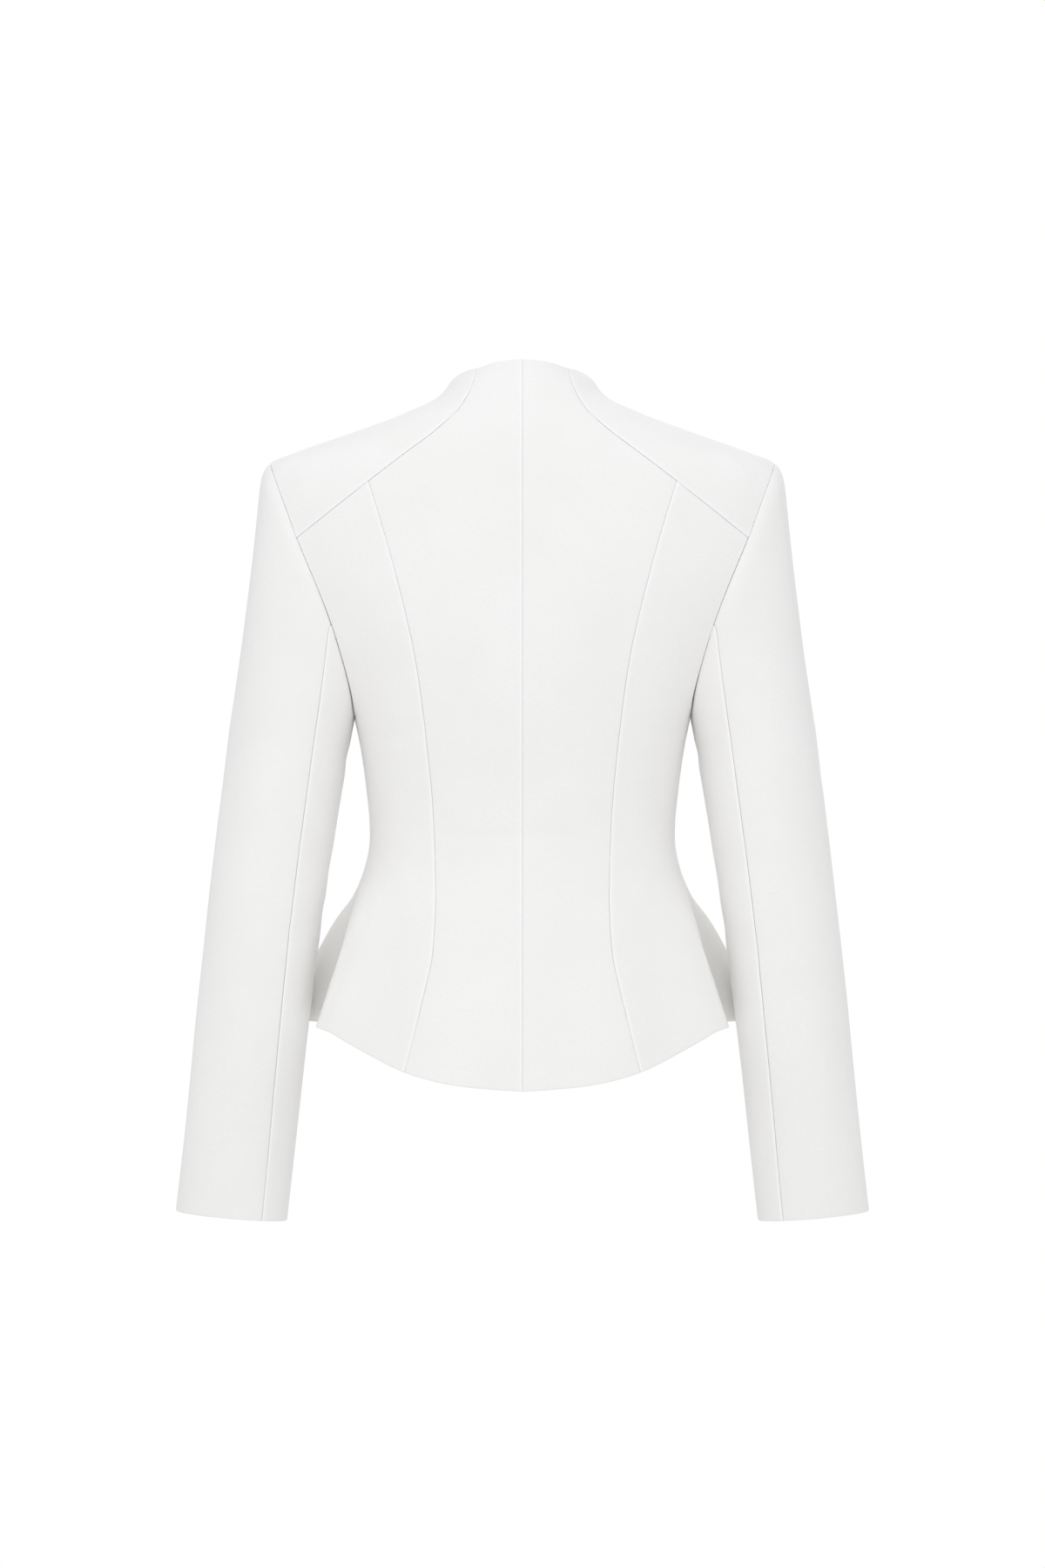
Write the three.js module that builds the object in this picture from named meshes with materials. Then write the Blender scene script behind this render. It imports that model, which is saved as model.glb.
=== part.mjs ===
// Wrap blazer, standing filled out as it is worn, with no wearer inside it.
//
// A short fitted jacket in white faced crepe: a stand neck grown on to the back, shoulder
// panels that run from the neck to the armholes, princess seams back and front, two-piece
// sleeves in square padded shoulders, and a peplum that springs from the waist into one
// flute on each side. The right front wraps over the left.
//
// Frame, in millimetres: +Z up, the front faces -Y and the wearer's left is +X. The origin
// lies between the shoulders, under the shoulder line, at the level of the neck's base.
//
// The body is one smooth form. A place on it is an angle and a height: the angle runs from
// 0 at the centre back by 90 at the side to 180 at the centre front, on the wearer's left,
// and past 180 where a front wraps over to the other side. Each cloth piece is a patch of
// that form between its own seams, drawn for the left half and mirrored for the right.
import * as THREE from "three";

const CLOTH = 2.2; // thickness of the faced cloth
const SEAM_GAP = 0.3; // between two pieces that are sewn together
const WHITE = 0xf4f4f2;

const NECK_TOP_BACK = 41; // height of the neck stand at the centre back
const NECK_TOP_SIDE = 33.5; // and over the shoulder line
const SHOULDER_TIP = { x: 206.5, z: -41.5 };
const UNDERARM_Z = -250;
const HEM_BACK_Z = -549.9; // the hem's lowest point, at the centre back
const SIDE_ANGLE = 90; // the side seams, behind the back flute
const WRAP_LIFT = 3.6; // how far the right front stands off the left front under it
const WRAP_MARGIN = 8; // how far past that front's edge it stays so

// Where the pieces meet, as x across and z up in the back or front view.
const BACK_YOKE_CORNER = { x: 124.5, z: -59.2 }; // top of the back princess seam
const BACK_YOKE_END = { x: 183, z: -104.4 }; // on the armhole
const FRONT_YOKE_NECK = { x: 56, z: -6 };
const FRONT_YOKE_CORNER = { x: 121, z: -37 };
const FRONT_YOKE_END = { x: 195, z: -72.5 };
const SLEEVE_SEAM_Z = -175; // where the sleeve's two seams reach the armhole

// Divisions of each stretch of seam. Pieces that share a stretch share its points.
const CUTS = {
  side: 12,
  armholeUnderBack: 5,
  armholeBack: 4,
  armholeTopBack: 5,
  armholeTopFront: 4,
  armholeFront: 5,
  armholeUnderFront: 5,
  yokeInner: 9,
  yokeOuter: 8,
  hemBack: 6,
};

// The form's level sections, from the neck stand down. Each is two half superellipses:
// half width, depth behind and in front of the shoulder line, and how square it is. In
// the peplum, ridge, valley and flute move the side out, in and out again.
const BODY = [
  { z: 52, half: 40, back: 48.5, front: 38, square: 2.05, bust: 0, ridge: 0, valley: 0, flute: 0 },
  { z: 41, half: 43, back: 51, front: 41, square: 2.05, bust: 0, ridge: 0, valley: 0, flute: 0 },
  { z: 35, half: 47, back: 52.5, front: 43, square: 2.05, bust: 0, ridge: 0, valley: 0, flute: 0 },
  { z: 27, half: 58, back: 55, front: 47, square: 2.06, bust: 0, ridge: 0, valley: 0, flute: 0 },
  { z: 19.4, half: 63.4, back: 58, front: 50.5, square: 2.08, bust: 0, ridge: 0, valley: 0, flute: 0 },
  { z: 10.8, half: 73.1, back: 61.5, front: 54, square: 2.1, bust: 0, ridge: 0, valley: 0, flute: 0 },
  { z: 3.6, half: 88.6, back: 65, front: 58, square: 2.12, bust: 0, ridge: 0, valley: 0, flute: 0 },
  { z: -3.6, half: 105.8, back: 69, front: 62, square: 2.15, bust: 0, ridge: 0, valley: 0, flute: 0 },
  { z: -18, half: 145.4, back: 75, front: 68, square: 2.2, bust: 0, ridge: 0, valley: 0, flute: 0 },
  { z: -32.4, half: 185.8, back: 79.5, front: 72.5, square: 2.25, bust: 0, ridge: 0, valley: 0, flute: 0 },
  { z: -41.5, half: 206.5, back: 82, front: 75, square: 2.3, bust: 0, ridge: 0, valley: 0, flute: 0 },
  { z: -54, half: 216, back: 84.5, front: 78, square: 2.35, bust: 0, ridge: 0, valley: 0, flute: 0 },
  { z: -74, half: 219, back: 87.5, front: 83, square: 2.4, bust: 0, ridge: 0, valley: 0, flute: 0 },
  { z: -103, half: 216, back: 91.5, front: 90, square: 2.4, bust: 0, ridge: 0, valley: 0, flute: 0 },
  { z: -130, half: 207, back: 94.5, front: 97, square: 2.4, bust: 3, ridge: 0, valley: 0, flute: 0 },
  { z: -162, half: 187, back: 97, front: 103, square: 2.4, bust: 9, ridge: 0, valley: 0, flute: 0 },
  { z: -188, half: 169, back: 97.5, front: 108, square: 2.4, bust: 13, ridge: 0, valley: 0, flute: 0 },
  { z: -208, half: 156, back: 97.2, front: 111, square: 2.4, bust: 14, ridge: 0, valley: 0, flute: 0 },
  { z: -228, half: 145.6, back: 96.5, front: 112, square: 2.38, bust: 14, ridge: 0, valley: 0, flute: 0 },
  { z: -250, half: 137.5, back: 95, front: 111, square: 2.35, bust: 11, ridge: 0, valley: 0, flute: 0 },
  { z: -277, half: 132.1, back: 92, front: 107, square: 2.3, bust: 6, ridge: 0, valley: 0, flute: 0 },
  { z: -310, half: 127.4, back: 87.5, front: 101, square: 2.25, bust: 1.5, ridge: 0, valley: 0, flute: 0 },
  { z: -345, half: 124.6, back: 84.5, front: 97.5, square: 2.2, bust: 0, ridge: 0, valley: 0, flute: 0 },
  { z: -364, half: 126.4, back: 85.5, front: 98, square: 2.2, bust: 0, ridge: 0, valley: 0, flute: 0 },
  { z: -385, half: 133.3, back: 89, front: 101, square: 2.2, bust: 0, ridge: 1, valley: 0, flute: 1.5 },
  { z: -407, half: 141.5, back: 93.5, front: 105.5, square: 2.22, bust: 0, ridge: 6, valley: 4, flute: 12.5 },
  { z: -443, half: 148, back: 100, front: 112, square: 2.25, bust: 0, ridge: 14, valley: 10, flute: 31 },
  { z: -486, half: 157, back: 108, front: 118, square: 2.3, bust: 0, ridge: 19, valley: 15, flute: 48 },
  { z: -520, half: 163, back: 113.5, front: 121, square: 2.32, bust: 0, ridge: 24, valley: 18, flute: 60 },
  { z: -570, half: 171, back: 121, front: 124, square: 2.35, bust: 0, ridge: 27, valley: 21, flute: 76 },
];
const RIDGE = { angle: 63, spread: 13 };
const VALLEY = { angle: 87, spread: 10 };
const FLUTE = { angle: 110, spread: 17 };
const BUST = { x: 80, spread: 44 };

// The armhole seam below the shoulder panel's ends, in the back and the front view.
const ARMHOLE = [
  { z: -41.5, back: 206.5, front: 206.5 },
  { z: -57, back: 201, front: 201 },
  { z: -75, back: 194, front: 193.6 },
  { z: -104.4, back: 183, front: 182 },
  { z: -127, back: 173.5, front: 171.6 },
  { z: -152, back: 163, front: 160.2 },
  { z: -178, back: 153.7, front: 150.6 },
  { z: -203, back: 146.3, front: 143.6 },
  { z: -229, back: 139.8, front: 138.6 },
  { z: -243, back: 137.6, front: 137.2 },
  { z: -250, back: 137.5, front: 137.5 },
];
const BACK_PRINCESS = [
  { z: -59.2, x: 124.5 },
  { z: -105, x: 110.5 },
  { z: -160, x: 95.8 },
  { z: -205, x: 86.1 },
  { z: -262, x: 78.5 },
  { z: -330, x: 72.2 },
  { z: -400, x: 70.1 },
  { z: -440, x: 72.4 },
  { z: -480, x: 81 },
  { z: -545, x: 97.3 },
];
const FRONT_PRINCESS = [
  { z: -37, x: 121 },
  { z: -90, x: 107 },
  { z: -150, x: 95 },
  { z: -215, x: 87 },
  { z: -290, x: 77 },
  { z: -345, x: 73 },
  { z: -400, x: 75 },
  { z: -450, x: 84 },
  { z: -520, x: 103 },
];
// The shoulder panel's back seam, from the princess seam up to the neck.
const BACK_YOKE = [
  { z: -59.2, x: 124.5 },
  { z: -37, x: 95.8 },
  { z: -15, x: 67.5 },
  { z: 4, x: 49.1 },
  { z: 14, x: 44 },
  { z: 22, x: 40.4 },
  { z: 29, x: 39.2 },
  { z: 36, x: 38.9 },
];
// The neck edge from the centre back over the shoulder, by angle.
const NECK_EDGE = [
  { angle: 0, z: NECK_TOP_BACK },
  { angle: 30, z: 39 },
  { angle: 55, z: 34.8 },
  { angle: 90, z: NECK_TOP_SIDE },
  { angle: 113, z: 29 },
  { angle: 124, z: 20 },
  { angle: 138, z: 8 },
  { angle: 151.8, z: -6 },
];
// The front edge of each front below its neck corner: x is towards its own side, so it
// turns negative where the front has crossed the centre.
const WRAP_EDGE = [
  { z: -6, x: 56 },
  { z: -50, x: 47.5 },
  { z: -110, x: 32 },
  { z: -170, x: 12.5 },
  { z: -230, x: -9.5 },
  { z: -285, x: -28.5 },
  { z: -325, x: -39.5 },
  { z: -360, x: -46 },
  { z: -390, x: -49 },
  { z: -418, x: -49.5 },
  { z: -445, x: -47 },
  { z: -470, x: -41.5 },
  { z: -492, x: -33.5 },
  { z: -512, x: -22.5 },
];
// Height of the hem by angle: deep at the back, high over the side flutes.
const HEM = [
  { angle: 0, z: HEM_BACK_Z },
  { angle: 14, z: -546 },
  { angle: 29, z: -537.5 },
  { angle: 42, z: -525.5 },
  { angle: 52, z: -512.5 },
  { angle: 61, z: -502 },
  { angle: 87, z: -500 },
  { angle: 110, z: -498 },
  { angle: 135, z: -496 },
  { angle: 160, z: -506 },
  { angle: 178, z: -512 },
  { angle: 200, z: -514 },
];

// The sleeve below the underarm: centre across and along, half width and half depth.
const SLEEVE = [
  { z: -268, x: 191.6, y: 0, half: 49.5, deep: 60 },
  { z: -342, x: 202, y: 6, half: 47.9, deep: 56 },
  { z: -407, x: 210.6, y: 10, half: 46.8, deep: 52 },
  { z: -472, x: 218.2, y: 11, half: 46.2, deep: 48.5 },
  { z: -536, x: 225.4, y: 6, half: 45.7, deep: 45.5 },
  { z: -601, x: 232.6, y: -3, half: 45.6, deep: 42.5 },
  { z: -659, x: 239.5, y: -13, half: 45.7, deep: 40 },
];
const SLEEVE_TOP_Z = -268;
const CUFF_Z = -659;
const SLEEVE_TILT = 0.09; // a sleeve's rings rise this much for each millimetre outwards
const SLEEVE_RINGS = 14;
// Angles round the sleeve from its outside, by the back, at its top and at the cuff.
const ROUND_SLEEVE = [
  { at: "tip", top: 0, cuff: 0 },
  { at: "backYoke", top: 62, cuff: 64 },
  { at: "backSeam", top: 117, cuff: 125.5 },
  { at: "underarm", top: 180, cuff: 180 },
  { at: "frontSeam", top: 240, cuff: 236 },
  { at: "frontYoke", top: 311, cuff: 308 },
  { at: "tipAgain", top: 360, cuff: 360 },
];
// The sleeve head: shares of the way from the armhole down to the sleeve's first ring.
const HEAD_STEPS = [0, 0.016, 0.04, 0.08, 0.14, 0.23, 0.34, 0.47, 0.62, 0.8, 1];
const HEAD_ROLL = { top: 6.6, side: 3, sharp: 0.028, fade: 2.3 };
const ARMHOLE_GAP = 0.45; // the sleeve stands this far out from the armhole seam

const radians = THREE.MathUtils.degToRad;
const degrees = THREE.MathUtils.radToDeg;
const clamp = THREE.MathUtils.clamp;
const smooth = (low, high, v) => THREE.MathUtils.smoothstep(v, low, high);

// A smooth curve through one column of a table that never swings past its own rows.
function column(table, key, name) {
  const rows = [...table].sort((a, b) => a[key] - b[key]);
  const at = rows.map((row) => row[key]);
  const value = rows.map((row) => row[name]);
  const slope = at.slice(1).map((v, i) => (value[i + 1] - value[i]) / (v - at[i]));
  const tangent = at.map((_, i) => {
    if (i === 0) return slope[0];
    if (i === at.length - 1) return slope[i - 1];
    const before = slope[i - 1];
    const after = slope[i];
    return before * after <= 0 ? 0 : (2 * before * after) / (before + after);
  });
  return (v) => {
    let i = at.findIndex((edge) => edge >= v) - 1;
    if (v >= at[at.length - 1]) i = at.length - 2;
    i = Math.max(i, 0);
    const width = at[i + 1] - at[i];
    const t = clamp((v - at[i]) / width, 0, 1);
    const keep = (1 + 2 * t) * (1 - t) ** 2;
    const rise = t * t * (3 - 2 * t);
    return (
      keep * value[i] +
      rise * value[i + 1] +
      width * (t * (1 - t) ** 2 * tangent[i] - t * t * (1 - t) * tangent[i + 1])
    );
  };
}

const section = {};
for (const name of ["half", "back", "front", "square", "bust", "ridge", "valley", "flute"]) {
  section[name] = column(BODY, "z", name);
}
const hemHeight = column(HEM, "angle", "z");
const neckHeight = column(NECK_EDGE, "angle", "z");
const backPrincess = column(BACK_PRINCESS, "z", "x");
const frontPrincess = column(FRONT_PRINCESS, "z", "x");
const backYoke = column(BACK_YOKE, "z", "x");
const wrapEdge = column(WRAP_EDGE, "z", "x");
const armholeBack = column(ARMHOLE, "z", "back");
const armholeFront = column(ARMHOLE, "z", "front");

const bump = (angle, { angle: middle, spread }) => Math.exp(-(((angle - middle) / spread) ** 2));
const power = (v, p) => Math.sign(v) * Math.abs(v) ** p;

// The point of the body's form at an angle and a height.
function bodyPoint(angle, z) {
  const turn = radians(angle);
  const round = 2 / section.square(z);
  const depth = Math.cos(turn) > 0 ? section.back(z) : section.front(z);
  const side = angle > 180 ? -1 : 1;
  const folded = angle > 180 ? 360 - angle : angle;
  let x = section.half(z) * power(Math.sin(turn), round);
  x += side * section.ridge(z) * bump(folded, RIDGE);
  x -= side * section.valley(z) * bump(folded, VALLEY);
  x += side * section.flute(z) * bump(folded, FLUTE);
  let y = depth * power(Math.cos(turn), round);
  const bust = Math.exp(-(((Math.abs(x) - BUST.x) / BUST.spread) ** 2));
  y -= section.bust(z) * bust * smooth(0, 0.5, -Math.cos(turn));
  return new THREE.Vector3(x, y, z);
}

// Outward direction of the form there.
function bodyNormal(angle, z) {
  const around = bodyPoint(angle + 0.5, z).sub(bodyPoint(angle - 0.5, z));
  const up = bodyPoint(angle, z + 0.5).sub(bodyPoint(angle, z - 0.5));
  return up.cross(around).normalize();
}

// The angle of a place that the back or the front view shows at x across.
function backAngle(x, z) {
  const share = clamp(Math.abs(x) / section.half(z), 0, 1);
  return Math.sign(x) * degrees(Math.asin(share ** (section.square(z) / 2)));
}
const frontAngle = (x, z) => 180 - backAngle(x, z);

const line = (a, b, t) => a + (b - a) * t;
const backSeam = (x, z) => ({ angle: backAngle(x, z), z });
const frontSeam = (x, z) => ({ angle: frontAngle(x, z), z });

// Points along a curve on the form, evenly spaced on the cloth. Both ends are kept.
function spaced(curve, cuts) {
  const fine = 240;
  const places = Array.from({ length: fine + 1 }, (_, i) => curve(i / fine));
  const run = [0];
  for (let i = 1; i <= fine; i += 1) {
    const a = bodyPoint(places[i - 1].angle, places[i - 1].z);
    run.push(run[i - 1] + a.distanceTo(bodyPoint(places[i].angle, places[i].z)));
  }
  return Array.from({ length: cuts + 1 }, (_, k) => {
    const want = (run[fine] * k) / cuts;
    const i = k === cuts ? fine : Math.max(run.findIndex((r) => r >= want), 1);
    const t = (want - run[i - 1]) / Math.max(run[i] - run[i - 1], 1e-9);
    return {
      angle: line(places[i - 1].angle, places[i].angle, clamp(t, 0, 1)),
      z: line(places[i - 1].z, places[i].z, clamp(t, 0, 1)),
    };
  });
}
const joined = (...stretches) => stretches.flatMap((s, i) => (i ? s.slice(1) : s));
const reversed = (stretch) => [...stretch].reverse();

// The height where a seam runs out at the hem.
function hemCrossing(angleOf) {
  let z = HEM_BACK_Z;
  for (let i = 0; i < 40; i += 1) z = hemHeight(angleOf(z));
  return z;
}

// The armhole's line between two heights, and the points along a stretch of it. Towards
// its bottom the line turns level, so the steps there are small in height.
function armhole(from, to, side) {
  const across = side === "back" ? armholeBack : armholeFront;
  const place = side === "back" ? backSeam : frontSeam;
  return (t) => {
    const z = line(from, to, t);
    return place(Math.min(across(z), section.half(z)), z);
  };
}
function armholeStretch(from, to, side, cuts) {
  const whole = armhole(from, to, side);
  const level = from === UNDERARM_Z;
  return spaced((t) => whole(level ? 1 - Math.cos((Math.PI / 2) * t) : t), cuts);
}

const backHemZ = hemCrossing((z) => backAngle(backPrincess(z), z));
const frontHemZ = hemCrossing((z) => frontAngle(frontPrincess(z), z));
const sideHemZ = hemHeight(SIDE_ANGLE);
const wrapHemZ = hemCrossing((z) => frontAngle(wrapEdge(z), z));
const neckCornerAngle = backAngle(BACK_YOKE[BACK_YOKE.length - 1].x, neckHeight(55));
const neckCornerZ = neckHeight(neckCornerAngle);

const seams = {
  backPrincess: spaced((t) => {
    const z = line(backHemZ, BACK_YOKE_CORNER.z, t);
    return backSeam(backPrincess(z), z);
  }, CUTS.side + CUTS.armholeUnderBack + CUTS.armholeBack),
  frontPrincess: spaced((t) => {
    const z = line(frontHemZ, FRONT_YOKE_CORNER.z, t);
    return frontSeam(frontPrincess(z), z);
  }, CUTS.side + CUTS.armholeUnderFront + CUTS.armholeFront),
  side: spaced((t) => ({ angle: SIDE_ANGLE, z: line(sideHemZ, UNDERARM_Z, t) }), CUTS.side),
  underBack: armholeStretch(UNDERARM_Z, SLEEVE_SEAM_Z, "back", CUTS.armholeUnderBack),
  armholeBack: armholeStretch(SLEEVE_SEAM_Z, BACK_YOKE_END.z, "back", CUTS.armholeBack),
  underFront: armholeStretch(UNDERARM_Z, SLEEVE_SEAM_Z, "front", CUTS.armholeUnderFront),
  armholeFront: armholeStretch(SLEEVE_SEAM_Z, FRONT_YOKE_END.z, "front", CUTS.armholeFront),
  topBack: spaced((t) => {
    const z = line(BACK_YOKE_END.z, SHOULDER_TIP.z, 1 - (1 - t) ** 2);
    return backSeam(Math.min(armholeBack(z), section.half(z)), z);
  }, CUTS.armholeTopBack),
  topFront: spaced((t) => {
    const z = line(SHOULDER_TIP.z, FRONT_YOKE_END.z, t ** 2);
    return frontSeam(Math.min(armholeFront(z), section.half(z)), z);
  }, CUTS.armholeTopFront),
  backYokeInner: spaced((t) => {
    const z = line(BACK_YOKE_CORNER.z, neckCornerZ, t);
    return backSeam(backYoke(z), z);
  }, CUTS.yokeInner),
  backYokeOuter: spaced((t) => {
    const z = line(BACK_YOKE_CORNER.z, BACK_YOKE_END.z, t);
    return backSeam(line(BACK_YOKE_CORNER.x, BACK_YOKE_END.x, t), z);
  }, CUTS.yokeOuter),
  frontYokeInner: spaced((t) => {
    const z = line(FRONT_YOKE_CORNER.z, FRONT_YOKE_NECK.z, t);
    return frontSeam(line(FRONT_YOKE_CORNER.x, FRONT_YOKE_NECK.x, t), z);
  }, CUTS.yokeInner),
  frontYokeOuter: spaced((t) => {
    const z = line(FRONT_YOKE_CORNER.z, FRONT_YOKE_END.z, t);
    return frontSeam(line(FRONT_YOKE_CORNER.x, FRONT_YOKE_END.x, t), z);
  }, CUTS.yokeOuter),
};

// A free edge that follows the hem or the neck between two angles.
const edge = (height, from, to, cuts) =>
  spaced((t) => {
    const angle = line(from, to, t);
    return { angle, z: height(angle) };
  }, cuts);

// Fills in a piece between its four sides, which all run from the hem upwards or from the
// centre back towards the front, and places its points on the form.
function patch({ bottom, top, left, right }) {
  const across = bottom.length - 1;
  const up = left.length - 1;
  const blend = (name, i, j) => {
    const u = i / across;
    const v = j / up;
    const sides = line(left[j][name], right[j][name], u);
    const ends = line(bottom[i][name], top[i][name], v);
    const low = line(bottom[0][name], bottom[across][name], u);
    const high = line(top[0][name], top[across][name], u);
    return sides + ends - line(low, high, v);
  };
  return Array.from({ length: up + 1 }, (_, j) =>
    Array.from({ length: across + 1 }, (_, i) => {
      const angle = blend("angle", i, j);
      const z = blend("z", i, j);
      return { point: bodyPoint(angle, z), normal: bodyNormal(angle, z) };
    }),
  );
}

// Draws a grid's sewn sides back from the seam, each by half the gap.
function drawBack(grid, sewn, distance) {
  const rows = grid.length - 1;
  const columns = grid[0].length - 1;
  const pull = (j, i, toJ, toI) => {
    const step = grid[toJ][toI].point.clone().sub(grid[j][i].point);
    return { cell: grid[j][i], step: step.setLength(distance) };
  };
  const moves = [];
  for (let j = 0; j <= rows; j += 1) {
    if (sewn.includes("left")) moves.push(pull(j, 0, j, 1));
    if (sewn.includes("right")) moves.push(pull(j, columns, j, columns - 1));
  }
  for (let i = 0; i <= columns; i += 1) {
    if (sewn.includes("bottom")) moves.push(pull(0, i, 1, i));
    if (sewn.includes("top")) moves.push(pull(rows, i, rows - 1, i));
  }
  for (const { cell, step } of moves) cell.point.add(step);
  return grid;
}

// Turns a grid of points and normals into a closed wall of cloth. Mirrored pieces have
// their x turned round.
function wall(grid, mirrored) {
  const rows = grid.length;
  const columns = grid[0].length;
  const turn = mirrored ? -1 : 1;
  const positions = [];
  for (const depth of [0, CLOTH]) {
    for (const { point, normal } of grid.flat()) {
      const p = point.clone().addScaledVector(normal, -depth);
      positions.push(turn * p.x, p.y, p.z);
    }
  }
  const outer = (j, i) => j * columns + i;
  const inner = (j, i) => rows * columns + j * columns + i;
  const faces = [];
  const quad = (a, b, c, d) => faces.push(a, b, c, a, c, d);
  for (let j = 0; j < rows - 1; j += 1) {
    for (let i = 0; i < columns - 1; i += 1) {
      quad(outer(j, i), outer(j + 1, i), outer(j + 1, i + 1), outer(j, i + 1));
      quad(inner(j, i), inner(j, i + 1), inner(j + 1, i + 1), inner(j + 1, i));
    }
    const last = columns - 1;
    quad(outer(j, 0), inner(j, 0), inner(j + 1, 0), outer(j + 1, 0));
    quad(outer(j, last), outer(j + 1, last), inner(j + 1, last), inner(j, last));
  }
  for (let i = 0; i < columns - 1; i += 1) {
    const last = rows - 1;
    quad(outer(0, i), outer(0, i + 1), inner(0, i + 1), inner(0, i));
    quad(outer(last, i), inner(last, i), inner(last, i + 1), outer(last, i + 1));
  }
  if (mirrored) faces.reverse();
  const geometry = new THREE.BufferGeometry();
  geometry.setAttribute("position", new THREE.Float32BufferAttribute(positions, 3));
  geometry.setIndex(faces);
  geometry.computeVertexNormals();
  return geometry;
}

const blazer = new THREE.Group();
function piece(name, grid, mirrored) {
  const cloth = new THREE.MeshStandardMaterial({ color: WHITE, roughness: 0.9, metalness: 0 });
  const mesh = new THREE.Mesh(wall(grid, mirrored), cloth);
  mesh.name = `${name}_${mirrored ? "right" : "left"}`;
  blazer.add(mesh);
}
const copied = (grid) =>
  grid.map((row) =>
    row.map(({ point, normal }) => ({ point: point.clone(), normal: normal.clone() })),
  );
function pair(name, grid) {
  piece(name, grid, false);
  piece(name, copied(grid), true);
}

// Centre back: from the hem to the top of the neck stand, the centre seam on its left.
const centreBackSide = joined(seams.backPrincess, seams.backYokeInner);
const centreBack = patch({
  bottom: edge(hemHeight, 0, centreBackSide[0].angle, CUTS.hemBack),
  top: edge(neckHeight, 0, neckCornerAngle, CUTS.hemBack),
  left: spaced((t) => ({ angle: 0, z: line(HEM_BACK_Z, NECK_TOP_BACK, t) }), centreBackSide.length - 1),
  right: centreBackSide,
});
pair("centre_back", drawBack(centreBack, ["left", "right"], SEAM_GAP / 2));

// Side back: between the princess seam and the side seam, up to the shoulder panel.
const sideBack = patch({
  bottom: edge(hemHeight, seams.backPrincess[0].angle, SIDE_ANGLE, CUTS.yokeOuter),
  top: seams.backYokeOuter,
  left: seams.backPrincess,
  right: joined(seams.side, seams.underBack, seams.armholeBack),
});
pair("side_back", drawBack(sideBack, ["left", "right", "top"], SEAM_GAP / 2));

// Shoulder panel: from the back seam over the shoulder to the front seam.
const shoulder = patch({
  bottom: joined(seams.topBack, seams.topFront),
  top: edge(neckHeight, neckCornerAngle, frontAngle(FRONT_YOKE_NECK.x, FRONT_YOKE_NECK.z), 9),
  left: joined(reversed(seams.backYokeOuter), seams.backYokeInner),
  right: joined(reversed(seams.frontYokeOuter), seams.frontYokeInner),
});
pair("shoulder_panel", drawBack(shoulder, ["left", "right", "bottom"], SEAM_GAP / 2));

// Side front: the same between the side seam and the front princess seam.
const sideFront = patch({
  bottom: edge(hemHeight, SIDE_ANGLE, seams.frontPrincess[0].angle, CUTS.yokeOuter),
  top: reversed(seams.frontYokeOuter),
  left: joined(seams.side, seams.underFront, seams.armholeFront),
  right: seams.frontPrincess,
});
pair("side_front", drawBack(sideFront, ["left", "right", "top"], SEAM_GAP / 2));

// Front: from the princess seam across the centre to the wrap's edge.
const wrapSide = spaced((t) => {
  const z = line(wrapHemZ, FRONT_YOKE_NECK.z, t);
  return frontSeam(wrapEdge(z), z);
}, seams.frontPrincess.length - 1);
const front = patch({
  bottom: edge(hemHeight, seams.frontPrincess[0].angle, wrapSide[0].angle, CUTS.yokeInner),
  top: seams.frontYokeInner,
  left: seams.frontPrincess,
  right: wrapSide,
});
drawBack(front, ["left", "top"], SEAM_GAP / 2);
piece("front", front, false);

// The right front lies over the left one. It stands off the form where that is, and comes
// down to the form by its own princess seam.
const liftAt = ({ x, z }) => {
  const past = -wrapEdge(z) + WRAP_MARGIN;
  return WRAP_LIFT * (1 - smooth(past, frontPrincess(z), x));
};
const overlap = copied(front);
for (const { point, normal } of overlap.flat()) {
  point.addScaledVector(normal, liftAt(point));
}
piece("front", overlap, true);

// The sleeve's ring at a height: a level ellipse, tilted with the arm.
const sleeve = {};
for (const name of ["x", "y", "half", "deep"]) sleeve[name] = column(SLEEVE, "z", name);
function sleevePoint(angle, z) {
  const turn = radians(angle);
  const across = sleeve.half(z) * Math.cos(turn);
  return new THREE.Vector3(
    sleeve.x(z) + across,
    sleeve.y(z) + sleeve.deep(z) * Math.sin(turn),
    z + SLEEVE_TILT * across,
  );
}

// The armhole loop from the shoulder tip by the back, the underarm and the front.
const loop = joined(
  reversed(seams.topBack),
  reversed(seams.armholeBack),
  reversed(seams.underBack),
  seams.underFront,
  seams.armholeFront,
  reversed(seams.topFront),
);
const stretchCuts = [
  CUTS.armholeTopBack,
  CUTS.armholeBack,
  CUTS.armholeUnderBack,
  CUTS.armholeUnderFront,
  CUTS.armholeFront,
  CUTS.armholeTopFront,
];
// Each loop point's angle round the sleeve, at the top and at the cuff.
const roundSleeve = [{ top: 0, cuff: 0 }];
stretchCuts.forEach((cuts, s) => {
  for (let k = 1; k <= cuts; k += 1) {
    roundSleeve.push({
      top: line(ROUND_SLEEVE[s].top, ROUND_SLEEVE[s + 1].top, k / cuts),
      cuff: line(ROUND_SLEEVE[s].cuff, ROUND_SLEEVE[s + 1].cuff, k / cuts),
    });
  }
});

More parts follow.
